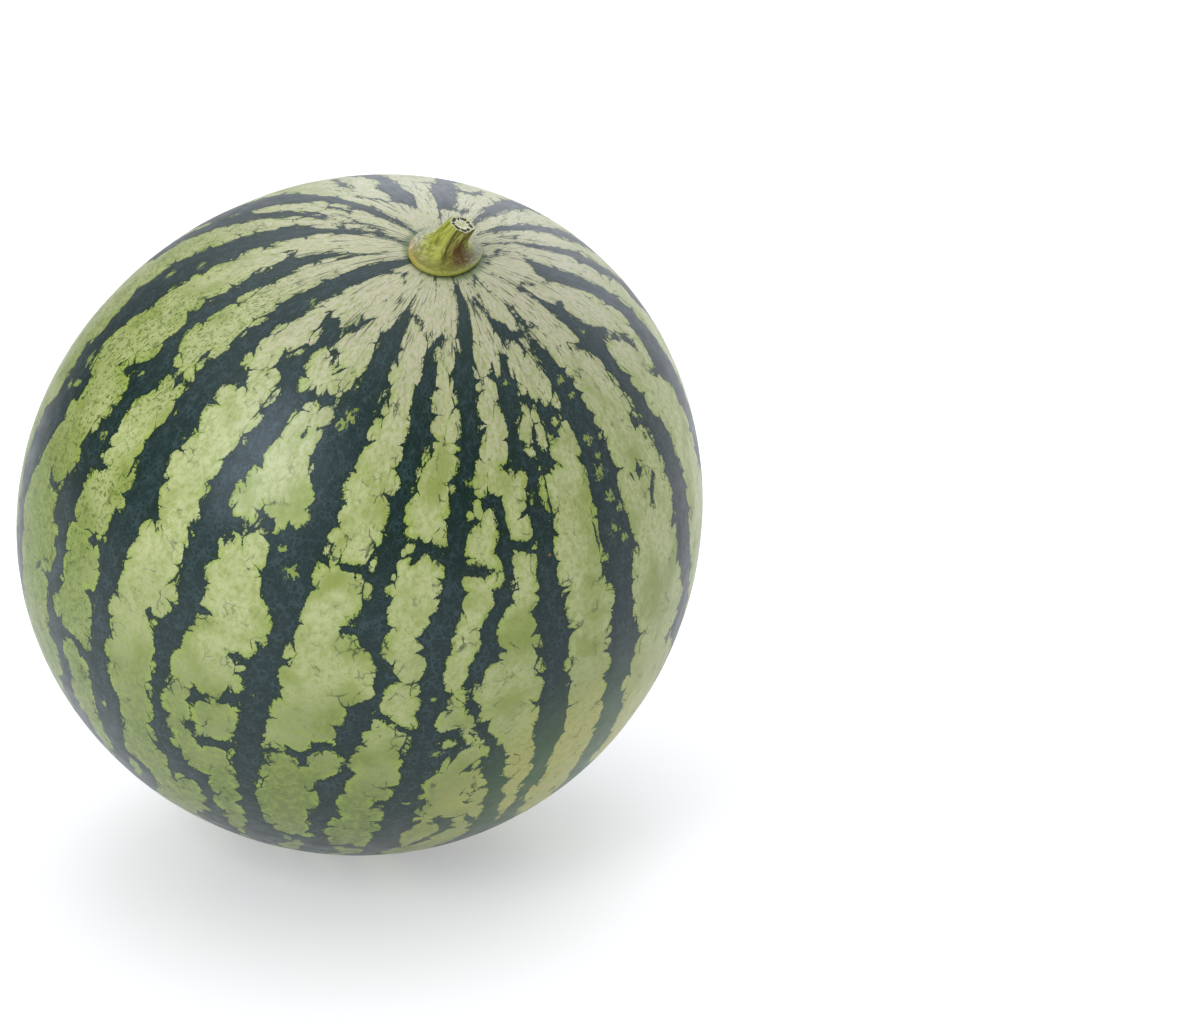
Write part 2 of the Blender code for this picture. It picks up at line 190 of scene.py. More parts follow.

# Thin dark branches. Each point is (angle from the stem, turn round it, in degrees, width in mm).
BRANCHES = (
    ((11.4, -147, 2), (9.6, -141, 1.4), (8.6, -133, 1.2), (10.4, -126.5, 0.5)),
    ((15.6, -109, 2.2), (15.4, -105, 1.8), (16.4, -100.8, 1.6)),
    ((16.6, -101, 1), (18.4, -96, 0.6), (19.6, -93.4, 1)),
    ((19.4, -92, 1.6), (18, -90, 1.2), (17.6, -89, 0.4)),
    ((8, -96, 0.6), (7.4, -100, 0.9), (6.4, -103, 1.4)),
    ((23, -130, 2), (21, -126, 1.6), (19, -124.6, 0.9)),
    ((19.4, -127.6, 0.5), (20.4, -126, 1.2)),
    ((25.4, -129, 1.6), (27.4, -125.6, 0.9), (28.4, -122.8, 1.7)),
    ((14.8, -122.6, 0.5), (14, -120.6, 1), (13.2, -119.8, 0.4)),
    ((32.6, -138.8, 0.6), (32.4, -135, 2.4)),
    ((35.4, -126, 2), (33.8, -121, 1.3), (34.4, -117, 1.1), (35.2, -114, 2)),
    ((40.4, -120, 0.4), (38.4, -117, 1), (38, -114, 2.4)),
    ((53.2, -119, 0.5), (54.6, -116.6, 1), (56.6, -114.6, 2.2)),
    ((38.2, -141.2, 0.8), (38.6, -144, 1.6), (40, -146, 3)),
    ((41, -154.6, 0.6), (41.4, -151, 3.4), (41, -146, 5), (39.6, -142.6, 2.4)),
    ((56.6, -130, 4), (57, -125, 5.4), (55.8, -121.2, 2.6)),
    ((58.8, -121.4, 1.4), (58.2, -124, 3)),
    ((63.4, -183.6, 2), (63.4, -178, 5), (62.4, -172, 3.6), (65, -171, 3)),
    ((46.4, -160, 2.2), (47, -155, 0.9), (45.6, -150.5, 1.4)),
    ((24.6, -181.4, 0.5), (24.2, -178.6, 1.6), (24.2, -174.5, 2.6)),
    ((17.4, -177.6, 0.4), (18.4, -174.4, 1.4)),
    ((55, -166.6, 0.4), (52.6, -164.8, 1.2), (50.4, -163.6, 2.6)),
    ((88.6, -156.4, 0.5), (88.4, -153.6, 1.6), (87, -151.2, 2)),
    ((75, -162.2, 0.4), (75.2, -159.6, 0.9), (74.6, -156.6, 2.4)),
    ((64.8, -152.4, 0.4), (64.8, -154.6, 1.2)),
    ((74.8, -146.7, 0.5), (73.6, -144, 1.2), (72.6, -141.6, 2)),
    ((82.2, -142, 0.4), (81.8, -140.2, 1)),
    ((63, -136.4, 1.6), (63.2, -139, 3)),
    ((77, -130.4, 0.5), (77.2, -128, 1.4), (76.4, -125.4, 2.8)),
    ((71.2, -120.8, 0.5), (71, -123, 2)),
    ((93.6, -149, 2), (92.8, -143.6, 1.8), (94.2, -138.8, 2.6)),
    ((101.2, -144.6, 1), (101.8, -143.6, 1.6)),
    ((85.8, -119.6, 0.5), (85.4, -117, 1.2), (84.6, -113.6, 0.8), (83.4, -110.6, 1.6)),
    ((86, -117.8, 0.7), (89.6, -117.8, 0.6), (92.6, -116.8, 0.9), (95.2, -115.2, 1.3), (93, -109.6, 1.8)),
    ((93.2, -102.6, 0.6), (91, -104.5, 2), (90.6, -102, 1.8), (89.6, -98.6, 0.9), (86.6, -95, 1.2)),
    ((92.4, -97, 0.4), (90, -98.6, 0.6)),
    ((75.8, -113.6, 0.6), (76, -111, 2)),
    ((83.2, -113.6, 0.4), (83, -110.6, 1.2)),
    ((106, -119.2, 2.2), (109, -118.9, 1), (111.6, -119.6, 0.4)),
    ((111, -129.4, 1), (112.6, -126.4, 2.6), (115.6, -124.8, 5), (119.6, -125.4, 5.6), (125, -127, 4)),
    ((58, -105.6, 0.6), (53.4, -103.4, 1.2), (53.4, -105.6, 2)),
    ((56.4, -100.8, 1), (55.8, -98.6, 1.8), (56.6, -95, 2.6)),
    ((63.8, -97.6, 1), (64.4, -94, 4.6)),
    ((66, -97.4, 0.4), (65.4, -95, 2)),
    ((79, -89.6, 0.8), (79.6, -87.4, 1), (81.2, -84.6, 0.7), (81.4, -82, 1.4)),
    ((82.6, -78.8, 1.4), (81.8, -76.4, 2.4), (83.8, -74.4, 3.2), (85.6, -75.6, 2.6), (87, -77.6, 3)),
    ((84.6, -72.8, 0.5), (84.6, -74.6, 2)),
    ((47.4, -77, 0.6), (47.6, -79.6, 2)),
    ((50.4, -92, 2), (50.8, -88, 1.5), (51.6, -82, 2)),
    ((53, -88.8, 0.5), (51.2, -87.6, 1.2)),
    ((98.6, -85, 0.5), (97.8, -82.6, 2)),
    ((98.6, -76.4, 0.4), (98.2, -79, 2)),
    ((104.4, -76.4, 0.6), (105.2, -78.4, 2.4)),
    ((103.6, -93.4, 3), (104, -90, 2), (104.2, -88.4, 0.6)),
    ((51, -70, 2.4), (51.4, -66, 1.6), (51, -62.4, 2.4)),
    ((44.6, -74.6, 0.4), (44.4, -72, 1.6)),
    ((54, -79.6, 1), (54.8, -74.5, 0.9), (54.4, -71, 0.8)),
    ((17, -55, 3), (18.8, -51, 2.4), (19.4, -47, 1.6), (19, -43.6, 1.8)),
    ((17, -52.4, 2.2), (16, -51.4, 0.8)),
    ((20, -51.6, 1.6), (21.8, -51.2, 0.5)),
    ((29, -60, 3), (30, -57.2, 2.2), (32, -54.6, 2.4), (34.4, -53.8, 1.8), (37.6, -55, 0.7)),
    ((32.4, -54, 2.4), (32.6, -50.6, 2.6), (33, -47.4, 2.4)),
    ((33.6, -59.8, 0.6), (36.6, -59.6, 1.6), (39, -58.4, 2.8), (39.4, -62, 2.4)),
    ((39, -58, 2.4), (41, -56.4, 0.8)),
    ((39.4, -70.4, 0.6), (39, -67, 2)),
    ((22, -68, 0.4), (25, -67.6, 1), (27, -66, 2)),
    ((46.4, -66, 0.5), (45.6, -64.4, 1.4), (46.6, -62.8, 2)),
    ((12, -66.4, 0.6), (11.6, -64, 1.8)),
    ((12, -60, 1.2), (9.4, -56, 1), (7.6, -50, 1.6), (6.6, -44, 2)),
    ((17.6, -39.6, 2), (19.4, -36.4, 0.6)),
    ((29.4, -40, 3.4), (29.6, -36.6, 0.8)),
    ((14, -20.6, 2.2), (13, -14.5, 1.6), (14.4, -9.5, 1), (16.2, -5.4, 0.4)),
    ((20.4, -14.6, 2.6), (20.6, -12.4, 1.6), (19.8, -11.6, 0.5)),
    ((28, -14, 4), (29.6, -9.6, 2.4), (29.4, -8, 0.6)),
    ((30, -11.4, 1.6), (33, -6.2, 0.7), (35.4, -4, 0.4)),
    ((26.4, -22.4, 2), (26.8, -26.4, 1.2), (25.4, -29.6, 0.5)),
    ((41, -27.4, 0.6), (42.6, -24.6, 1.8), (43.4, -22.4, 2.4)),
    ((47.6, -34, 0.4), (48.4, -31.8, 0.8)),
    ((50.4, -29, 0.5), (52.4, -30.4, 1), (54, -32.8, 0.5)),
    ((60.4, -27, 0.8), (60.6, -24.4, 2)),
    ((42, -4.6, 0.5), (42, -1.6, 2.4)),
    ((17.6, -0.4, 1), (17.4, 3, 2.4)),
    ((14, 16, 2), (12.6, 18, 0.9), (9, 19.6, 1.4), (8.6, 14, 1.6)),
    ((7, -6, 2), (7.4, 0, 0.8), (6.4, 6, 2)),
    ((15, 30, 1), (14.2, 34, 1.2), (15.8, 39, 0.5)),
    ((13.4, 84, 3), (13, 78, 2.2), (14.4, 74.6, 0.8)),
    ((23.4, 84, 3), (23.8, 77.6, 1.8), (26, 74, 1.4), (28.6, 74.6, 0.6)),
    ((15.6, 118, 2), (16.8, 123, 1.4), (18.6, 127, 0.9), (21.4, 130, 0.5)),
    ((25.5, 125.5, 0.6), (29, 124.5, 1.6), (33, 121.5, 1.4), (36, 119, 0.6)),
    ((18, 143, 1.4), (19.6, 147, 0.8), (21.8, 145.4, 1.2)),
    ((10.4, 165, 2.6), (11, 159, 2), (13.4, 154.6, 1.4)),
    ((17.6, 152, 0.8), (17.8, 156.6, 1), (17, 162, 1.6)),
    ((102.6, -73.6, 1), (104.4, -72.4, 3.4), (106.4, -70.2, 3.8), (110, -70.8, 1.8), (115, -73.4, 2.4)),
    ((104.6, -68.4, 1), (106, -66.4, 2.4)),
    ((99, -69.4, 0.5), (96.4, -70, 0.8), (95, -67.6, 1), (94.6, -65.6, 1.6)),
    ((90.4, -71.6, 0.5), (89.2, -69.4, 1.2)),
    ((115.6, -98, 1.4), (116.4, -94.4, 1.6), (117.4, -90, 2.2), (117, -85.6, 2), (118.6, -81, 2.4)),
)

# Light flecked islands inside dark stripes: (angle from the stem, turn, in degrees, radius in mm).
ISLANDS = (
    (28.6, -42.6, 1.9), (31.6, -42, 1.6), (38.8, -44.2, 2.5), (41.6, -43.4, 1.9), (44.2, -44.6, 2.9),
    (48.6, -44, 2.4), (51, -42.2, 2), (53.4, -45, 2.5), (55.6, -42.6, 2), (34.4, -111, 2.9),
    (36.4, -112.4, 2.2), (59.6, -109.2, 2.9), (57, -112.4, 2.1), (51.4, -162, 2), (62, -157.2, 2),
    (61.5, 183, 2.8), (64.4, 186, 2.4), (66.8, 184, 2), (23.5, -150, 1.9), (84, -76.4, 2.2), (86, -78, 1.9),
    (98.6, -79.8, 1.6), (75.6, -81, 1.5), (41, -78.8, 1.5), (26, -64, 1.6), (45.4, 172, 2.4),
    (39.4, 174, 2), (81.4, -109, 1.8), (25.6, -17.4, 1.5), (101, -134, 1.8),
)

# Small brown scars in the skin: (angle from the stem, turn, in degrees, radius in mm).
SCARS = (
    (96.4, -56, 1.0), (97.8, -54.6, 0.8), (99.4, -57.8, 1.2), (101.4, -56.2, 0.8), (102.4, -58.4, 1.1),
    (103.6, -55.6, 0.7), (95, -58.6, 0.6), (53.6, -61.4, 0.9), (54.4, -60, 0.6), (24.4, -63.6, 0.8),
    (23.8, -62, 0.5), (12.6, 45, 0.8), (76.6, -144.6, 0.6), (118, 60, 0.9), (84, 96, 0.8), (121.4, 63, 0.6),
)

# The pale ground spot, where the fruit lay on the soil, and the side that grew greenest, with the most
# flecks: (angle from the stem, turn, in degrees, radius in mm).
GROUND_SPOT = ((100, -50, 58),)
LUSH_SPOTS = ((84, -164, 50), (56, -182, 44), (70, 130, 40), (46, -166, 30))

# What carries each stripe on towards the blossom end, and what sprouts from it.
GROWTH_SEED = 11
BLOSSOM_END_DEG = 174.0
GROWTH_STEP_DEG = (4.0, 7.0)
GROWTH_WANDER_DEG = (-2.2, 2.2)
GROWTH_STRAY = 0.7  # how much of a stripe's straying from its course lasts to its next point
GROWN_WIDE_DEG = (6.5, 11.0)
GROWN_NARROW_DEG = (2.6, 7.5)
GROWN_MIDDLE_DEG = 5.5  # a stripe narrower than this goes on wide, and a wider one narrow
SPURS_PER_POINT = 0.55
SPUR_REACH_MM = (1.5, 5.5)
SPUR_SLOPE_DEG = (-2.6, 2.6)
SPUR_BEND_DEG = (-1.2, 1.2)
SPUR_BEND_AT = 0.62
SPUR_ROOT_MM = 2.6
SPUR_MIDDLE_MM = (0.9, 1.5)
SPUR_TIP_MM = 0.3
FAR_MM = 40.0  # a point this far from every stripe counts as no farther
LAST_SHORT_DEG = 28  # a stripe whose last point is nearer the stem than this ends there


def slanting(rise_deg, turn_deg):
    """Unit vector that rises above the horizontal, turned from +X towards +Y."""
    rise = radians(rise_deg)
    turn = radians(turn_deg)
    return Vector((cos(rise) * cos(turn), cos(rise) * sin(turn), sin(rise)))


LONG_DIRECTION = np.array(slanting(LONG_RISE_DEG, LONG_TURN_DEG))
STEM_AXIS = slanting(90.0 - STEM_LEAN_DEG, STEM_TURN_DEG)
TILT = np.array(Vector((0, 0, 1)).rotation_difference(STEM_AXIS).to_matrix())
LONGER = (FRUIT_LENGTH - FRUIT_WIDTH) / 2
STRETCH = FRUIT_WIDTH / 2 * np.eye(3) + LONGER * np.outer(LONG_DIRECTION, LONG_DIRECTION)


def unit(vectors):
    """The vectors with length one."""
    return vectors / np.linalg.norm(vectors, axis=-1, keepdims=True)


def dip(distance, depth, width):
    """Depth of a smooth round hollow at a distance from its middle."""
    return depth * 2.0 ** (-((2.0 * distance / width) ** 2))


def skin_points(polar, around):
    """Points of the skin from the fruit's centre, for angles from the stem and round it."""
    level = np.sin(polar)
    directions = np.stack([level * np.cos(around), level * np.sin(around), np.cos(polar)], axis=-1)
    swell = SIDE_SWELL * np.cos(SIDES * (around - radians(SIDE_TURN_DEG))) * level**SIDES
    swell -= dip(polar * FRUIT_WIDTH / 2, CROWN_DIP_DEPTH, CROWN_DIP_WIDTH)
    swell -= dip((pi - polar) * FRUIT_WIDTH / 2, BLOSSOM_DIP_DEPTH, BLOSSOM_DIP_WIDTH)
    points = directions @ TILT.T @ STRETCH.T
    return points + unit(points) * swell[..., None]


def fruit_centre():
    """Where the fruit's centre is, so that the skin fits the CAD fruit's box."""
    polar, around = np.meshgrid(np.linspace(0, pi, 361), np.linspace(-pi, pi, 721))
    points = skin_points(polar, around).reshape(-1, 3)
    lowest, highest = (np.array(corner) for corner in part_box("fruit"))
    middle = (lowest + highest) / 2 - (points.min(axis=0) + points.max(axis=0)) / 2
    middle[2] = highest[2] - points[:, 2].max()
    return middle


CENTRE = fruit_centre()
FLOOR_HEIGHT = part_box("fruit")[0][2]


# ---------- the skin's pattern


def wrapped(degrees):
    """An angle brought to between -180 and 180 degrees."""
    return (degrees + 180.0) % 360.0 - 180.0


def stroke_gap(polar, turn, stroke):
    """Distance in mm from each skin point to the edge of a painted stroke, below zero inside it."""
    across_mm = MM_PER_DEGREE * np.sin(np.radians(polar))
    nearest = np.full(polar.shape, FAR_MM)
    for (polar_0, turn_0, width_0), (polar_1, turn_1, width_1) in zip(stroke, stroke[1:]):
        across = wrapped(turn - turn_0) * across_mm
        down = (polar - polar_0) * MM_PER_DEGREE
        run_across = (turn_1 - turn_0) * across_mm
        run_down = (polar_1 - polar_0) * MM_PER_DEGREE
        along = (across * run_across + down * run_down) / (run_across**2 + run_down**2 + 1e-9)
        along = np.clip(along, 0.0, 1.0)
        gap = np.hypot(across - along * run_across, down - along * run_down)
        nearest = np.minimum(nearest, gap - (width_0 + (width_1 - width_0) * along) / 2)
    return nearest


def grown_on(stripe, draw):
    """The stripe with widths in mm, carried on from its last chosen point to the blossom end."""
    points = list(stripe)
    polar, home, width = points[-1]
    turn = home
    while LAST_SHORT_DEG < polar < BLOSSOM_END_DEG:
        polar = min(polar + draw.uniform(*GROWTH_STEP_DEG), BLOSSOM_END_DEG)
        turn = home + GROWTH_STRAY * (turn - home) + draw.uniform(*GROWTH_WANDER_DEG)
        width = draw.uniform(*(GROWN_WIDE_DEG if width < GROWN_MIDDLE_DEG else GROWN_NARROW_DEG))
        points.append((polar, turn, width))
    return [(p, t, w * MM_PER_DEGREE * sin(radians(p))) for p, t, w in points]


def spurs(points, draw):
    """Short tapering spurs out of a stripe's sides, at some of its points."""
    grown = []
    for polar, turn, width in points:
        if draw.random() > SPURS_PER_POINT:
            continue
        side = draw.choice((-1, 1))
        level = MM_PER_DEGREE * sin(radians(polar))
        reach = side * (width / 2 + draw.uniform(*SPUR_REACH_MM)) / level
        slope = draw.uniform(*SPUR_SLOPE_DEG)
        bend = draw.uniform(*SPUR_BEND_DEG)
        middle = (polar + slope / 2 + bend, turn + reach * SPUR_BEND_AT, draw.uniform(*SPUR_MIDDLE_MM))
        grown.append(((polar, turn, SPUR_ROOT_MM), middle, (polar + slope, turn + reach, SPUR_TIP_MM)))
    return grown


def spot_share(polar, turn, spots):
    """1 in the middle of the nearest spot, 0 at its edge, and below 0 outside it."""
    best = np.full(polar.shape, -1.0)
    for spot_polar, spot_turn, radius in spots:
        level = MM_PER_DEGREE * np.sin(np.radians(polar))
        gap = np.hypot(wrapped(turn - spot_turn) * level, (polar - spot_polar) * MM_PER_DEGREE)
        best = np.maximum(best, 1.0 - gap / radius)
    return best


def stripe_edge(polar, turn):
    """Distance in mm out of the dark stripes, below zero inside them."""
    draw = random.Random(GROWTH_SEED)
    stripes = [grown_on(stripe, draw) for stripe in STRIPES]
    strokes = stripes + list(BRANCHES)
    for chosen, stripe in zip(STRIPES, stripes):
        strokes += spurs(stripe[len(chosen):-1], draw)
    nearest = np.full(polar.shape, FAR_MM)
    for stroke in strokes:
        nearest = np.minimum(nearest, stroke_gap(polar, turn, stroke))
    return nearest


# ---------- meshes


def map_places(steps):
    """Where the grids' corners are on the unwrapped map, six squares in two rows."""
    grid = np.linspace(0.0, 1.0, steps + 1)
    u, v = (part.reshape(-1) for part in np.meshgrid(grid, grid))
    width, height = 1 / 3 - 2 * MAP_MARGIN, 1 / 2 - 2 * MAP_MARGIN
    places = []
    for side in range(CUBE_SIDES):
        left = (side % 3) / 3 + MAP_MARGIN
        low = (side // 3) / 2 + MAP_MARGIN
        places.append(np.stack([left + u * width, low + v * height], axis=-1))
    return np.concatenate(places)


def cube_directions(steps):
    """Unit directions of the grids on a cube's faces, blown up to a sphere."""
    spread = np.tan(np.linspace(-pi / 4, pi / 4, steps + 1))
    across, along = np.meshgrid(spread, spread)
    ahead = np.ones_like(across)
    sides = (
        (across, along, ahead), (-across, along, -ahead), (ahead, across, along),
        (-ahead, -across, along), (-across, ahead, along), (across, -ahead, along),
    )
    return np.concatenate([unit(np.stack(side, axis=-1)).reshape(-1, 3) for side in sides])


def cube_squares(steps):
    """The four corners of every square of those grids."""
    row, column = np.meshgrid(np.arange(steps), np.arange(steps), indexing="ij")
    corner = (row * (steps + 1) + column).reshape(-1)
    square = np.stack([corner, corner + 1, corner + steps + 2, corner + steps + 1], axis=-1)
    return np.concatenate([square + side * (steps + 1) ** 2 for side in range(CUBE_SIDES)])


def filled_mesh(name, points, faces):
    """Smooth-shaded mesh of points and faces."""
    mesh = bpy.data.meshes.new(name)
    mesh.from_pydata(points.tolist(), [], [list(map(int, face)) for face in faces])
    mesh.update()
    mesh.shade_smooth()
    return mesh


def add_values(mesh, name, values):
    """Store one number, or one vector, for each point of the mesh."""
    kind, field = ("FLOAT_VECTOR", "vector") if values.ndim == 2 else ("FLOAT", "value")
    mesh.attributes.new(name, kind, "POINT").data.foreach_set(field, values.astype(np.float32).reshape(-1))


def add_object(name, data):
    """A new object in the scene."""
    made = bpy.data.objects.new(name, data)
    bpy.context.scene.collection.objects.link(made)
    return made


def add_piece(name, mesh, material, node):
    """Show a mesh in place of a CAD node, on the one body."""
    piece = add_object(name, mesh)
    mesh.materials.append(material)
    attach(piece, "root")
    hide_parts(node)
    return piece


def uneven(points, size, seed):
    """Smooth noise at each point, about -1 to 1, with bumps of one size in metres."""
    shift = Vector((seed * 17.3, seed * 5.1, seed * 9.7))
    return np.array([noise.noise(Vector(point) / size + shift) for point in points])


def add_pattern(mesh, polar, around):
    """Store what the skin's material needs on the mesh's points."""
    polar_deg, turn_deg = np.degrees(polar), np.degrees(around)
    pattern = np.stack([np.cos(around), np.sin(around), polar], axis=-1) * SKIN_RADIUS_MM
    add_values(mesh, "Pattern", pattern)
    add_values(mesh, "Stripe", stripe_edge(polar_deg, turn_deg))
    spots = (("Island", ISLANDS), ("Scar", SCARS), ("Ground", GROUND_SPOT), ("Lush", LUSH_SPOTS))
    for name, places in spots:
        add_values(mesh, name, spot_share(polar_deg, turn_deg, places))


def make_skin():
    """The fruit's whole skin as one closed mesh, with its pattern stored on its points."""
    directions = cube_directions(SKIN_STEPS)
    squares = cube_squares(SKIN_STEPS)
    _, first, same = np.unique(np.round(directions, 6), axis=0, return_index=True, return_inverse=True)
    directions = directions[first]
    faces = same.reshape(-1)[squares]
    polar = np.arccos(np.clip(directions[:, 2], -1.0, 1.0))
    around = np.arctan2(directions[:, 1], directions[:, 0])
    points = skin_points(polar, around)
    outward = unit(points)
    rough = SKIN_WAVES[0] * uneven(points, SKIN_WAVES[1], 1)
    rough += SKIN_RIPPLES[0] * uneven(points, SKIN_RIPPLES[1], 2)
    points = points + outward * rough[:, None] + CENTRE
    points[:, 2] = np.maximum(points[:, 2], FLOOR_HEIGHT)
    mesh = filled_mesh("watermelon_skin", points, faces)
    unwrapped = mesh.uv_layers.new(name="OFBake")
    places = map_places(SKIN_STEPS)[squares.reshape(-1)]
    unwrapped.data.foreach_set("uv", places.astype(np.float32).reshape(-1))
    add_pattern(mesh, polar, around)
    return add_piece("watermelon_skin", mesh, rind_material(), "fruit")


def stem_outline():
    """(radius, height) up the stem's outer side, from the foot's lower edge to the cut."""
    corners = [pi / 2 * step / STEM_EDGE_STEPS for step in range(STEM_EDGE_STEPS + 1)]
    inset = [STEM_FOOT_EDGE * (1 - sin(corner)) for corner in corners]
    rise = [STEM_FOOT_EDGE * (1 - cos(corner)) for corner in corners]
    outline = [(STEM_FOOT_RADIUS - i, r) for i, r in zip(inset, rise)]
    outline += [(STEM_FOOT_RADIUS - r, STEM_FOOT_RIM - i) for i, r in zip(inset, rise)]
    for step in range(STEM_FLARE_STEPS):
        share = step / STEM_FLARE_STEPS
        radius = STEM_NECK_RADIUS + (STEM_SHOULDER_RADIUS - STEM_NECK_RADIUS) * (1.0 - share) ** FLARE_BEND
        lift = (STEM_NECK_START - STEM_FOOT_RIM) * (FLARE_START + (1 - FLARE_START) * share)
        outline.append((radius, STEM_FOOT_RIM + lift))
    for step in range(STEM_NECK_STEPS + 1):
        share = step / STEM_NECK_STEPS
        radius = STEM_NECK_RADIUS + (STEM_CUT_RADIUS - STEM_NECK_RADIUS) * share
        outline.append((radius, STEM_NECK_START + (STEM_HEIGHT - STEM_NECK_START) * share))
    return outline


CROWN_NORMAL = unit(np.linalg.inv(STRETCH) @ np.array(STEM_AXIS))


def stem_points(radius, height, angle, sunk):
    """Points of the stem from the fruit's centre: an oval foot, a ribbed bent neck and a slanting cut."""
    share = height / STEM_HEIGHT
    oval = STEM_FOOT_OVAL / STEM_FOOT_RADIUS * np.cos(2 * (angle - radians(STEM_FOOT_OVAL_TURN_DEG)))
    ribs = STEM_RIB_DEPTH / STEM_NECK_RADIUS * np.cos(STEM_RIBS * angle)
    ribbed = radius * (1.0 + oval * (1.0 - share) + ribs * share) - sunk
    bend_angle = radians(STEM_BEND_TURN_DEG)
    bend_side = TILT @ np.array([cos(bend_angle), sin(bend_angle), 0.0])
    slant = tan(radians(STEM_CUT_SLANT_DEG)) * ribbed * np.cos(angle - bend_angle) * share**3
    lift = STEM_SEAT_GAP + height - slant
    seat = skin_points(ribbed / (FRUIT_WIDTH / 2), angle)
    return seat + CROWN_NORMAL * lift[..., None] + bend_side * (STEM_BEND * share**2)[..., None]


def stem_rings():
    """(radius, height) of each ring from the seat to the cut, and how far in on the cut it is."""
    outline = stem_outline()
    seat_radius = outline[0][0]
    seat = [(seat_radius * step / STEM_SEAT_STEPS, 0.0) for step in range(1, STEM_SEAT_STEPS)]
    cut_shares = [step / STEM_CUT_STEPS for step in range(1, STEM_CUT_STEPS)]
    cut = [(STEM_CUT_RADIUS * (1 - share), STEM_HEIGHT) for share in cut_shares]
    inward = [0.0] * (len(seat) + len(outline)) + cut_shares
    return np.array(seat + outline + cut), np.array(inward)


def stem_noise(angles, share, across, along):
    """Smooth noise round the stem and up it, about -1 to 1."""
    values = []
    for angle, height in zip(angles.flat, share.flat):
        place = Vector((cos(angle) * across, sin(angle) * across, height * along))
        values.append(noise.noise(place))
    return np.array(values).reshape(share.shape)


def stem_relief(radius, height, angles, inward):
    """The stem's points, ribbed and hollowed at the cut, and how much each is in a vessel."""
    share = height / STEM_HEIGHT
    wobble = stem_noise(angles, share, 2.4, 1.6)
    strands = stem_noise(angles, share, 9.0, 1.1)
    on_neck = np.clip((share - 0.12) / 0.3, 0, 1)
    on_side = np.where(inward > 0, 1 - inward, 1.0)
    ridges = STEM_RIDGES * np.abs(np.sin(STEM_RIBS * angles + 0.6)) * on_neck
    sunk = (ridges + STEM_STRANDS * strands * on_neck + STEM_WOBBLE * wobble * on_neck) * on_side
    sunk = np.where(height > 0, sunk, 0.0)
    points = stem_points(radius, height, angles, np.minimum(sunk, radius * 0.5))
    segment = np.clip(0.95 + 0.8 * np.cos(9 * angles + 3.0 * wobble), 0, 1)
    bundle = np.exp(-(((inward - 0.29) / 0.13) ** 4)) * segment
    pith = np.clip((inward - 0.45) / 0.2, 0, 1)
    hollow = CUT_VESSEL_DEPTH * bundle + CUT_PITH_DEPTH * pith + CUT_GRAIN_DEPTH * strands
    hollow = np.where(inward > 0, hollow, 0.0)
    fray = np.where((share > 0.985) & (inward < 0.12), CUT_FRAY * strands, 0.0)
    veins = STEM_VEINS * np.cos(26 * angles + 2 * wobble) * np.clip(1 - share / 0.3, 0, 1) * (share > 0.1)
    points = points + CROWN_NORMAL * (fray - hollow)[..., None]
    return points + CROWN_NORMAL * veins[..., None] + CENTRE, bundle


def stem_middle(height):
    """The point in the middle of the stem at a height."""
    return stem_points(np.zeros(1), np.full(1, height), np.zeros(1), np.zeros(1)) + CENTRE


def stem_faces(count, sides):
    """Squares between the rings, and the two fans that close the seat and the cut."""
    here = np.arange(sides)
    after = (here + 1) % sides
    faces = []
    for ring in range(count - 1):
        low, high = ring * sides, (ring + 1) * sides
        faces += np.stack([low + here, low + after, high + after, high + here], axis=-1).tolist()
    last = (count - 1) * sides
    faces += [[count * sides, int(b), int(a)] for a, b in zip(here, after)]
    faces += [[count * sides + 1, int(last + a), int(last + b)] for a, b in zip(here, after)]
    return faces


def make_stem():
    """The cut stem as one closed mesh: its seat, foot, neck and cut face."""
    rings, inward = stem_rings()
    turns = np.linspace(0, 2 * pi, STEM_SIDES, endpoint=False)
    radius, angles = np.meshgrid(rings[:, 0], turns, indexing="ij")
    height, _ = np.meshgrid(rings[:, 1], turns, indexing="ij")
    inward, _ = np.meshgrid(inward, turns, indexing="ij")
    points, bundle = stem_relief(radius, height, angles, inward)
    below = stem_middle(0.0)
    above = stem_middle(STEM_HEIGHT) - CROWN_NORMAL * CUT_MIDDLE_DEPTH
    corners = np.concatenate([points.reshape(-1, 3), below, above])
    mesh = filled_mesh("stem_stub", corners, stem_faces(*angles.shape))

    fibre = np.stack([np.cos(angles) * radius, np.sin(angles) * radius, height], axis=-1).reshape(-1, 3)
    middles = np.array([[0, 0, 0], [0, 0, STEM_HEIGHT]])
    add_values(mesh, "Fibre", np.concatenate([fibre, middles]) / MM)
    share = height / STEM_HEIGHT
    for name, values, at_cut in (("Share", share, 1), ("Inward", inward, 1), ("Bundle", bundle, 0)):
        add_values(mesh, name, np.append(values.reshape(-1), (0, at_cut)))
    return add_piece("stem_stub", mesh, stem_material(), "stem")


# ---------- materials


